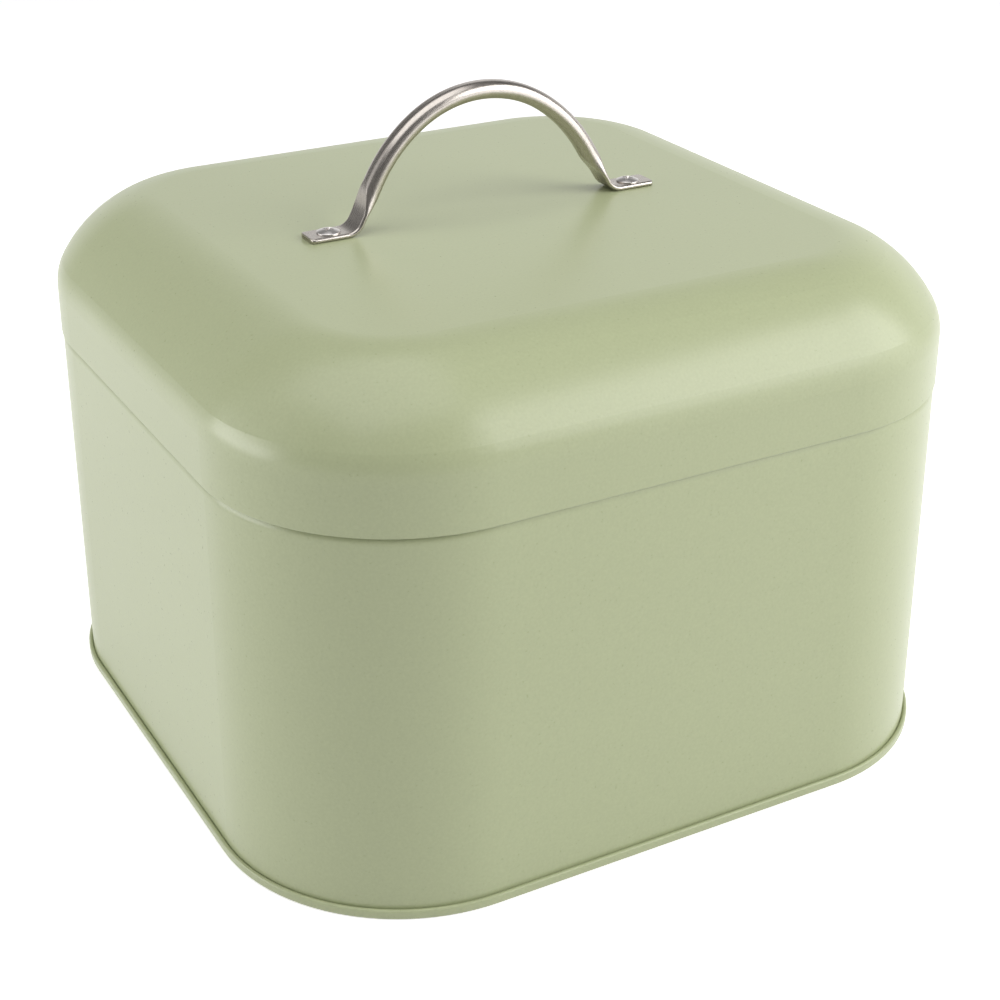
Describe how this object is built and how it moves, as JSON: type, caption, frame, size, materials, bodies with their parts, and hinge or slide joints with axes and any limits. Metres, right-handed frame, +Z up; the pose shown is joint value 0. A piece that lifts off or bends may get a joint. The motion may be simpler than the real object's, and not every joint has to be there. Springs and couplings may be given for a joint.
{
  "type": "bread box",
  "caption": "Square sheet-steel bread box with large round corners, a lift-off domed lid and an arched tube handle held by two screws.",
  "frame": {"origin": "middle of the footprint, on the surface the box stands on", "axes": "+Z up, +X along the handle, front at -Y, folded side seam in the middle of the back at +Y"},
  "size_m": [0.2634, 0.2592, 0.2244],
  "materials": {
    "body_paint": "satin powder coat, pale sage green",
    "base_paint": "satin powder coat, pale sage green",
    "lid_paint": "satin powder coat, pale sage green",
    "handle_steel": "fine satin stainless steel",
    "screw_steel": "bright plated steel",
    "fastener_zinc": "zinc plated steel"
  },
  "bodies": {
    "box": {"body_wall": "body_paint", "base_panel": "base_paint"},
    "lid": {"lid_shell": "lid_paint", "handle": "handle_steel", "screw_left": "screw_steel", "screw_right": "screw_steel", "washer_left": "fastener_zinc", "washer_right": "fastener_zinc", "nut_left": "fastener_zinc", "nut_right": "fastener_zinc"}
  },
  "joints": [
    {"name": "lid_lift", "type": "slide", "parent": "box", "child": "lid", "axis": [0, 0, 1], "range_m": [0, 0.2]}
  ]
}
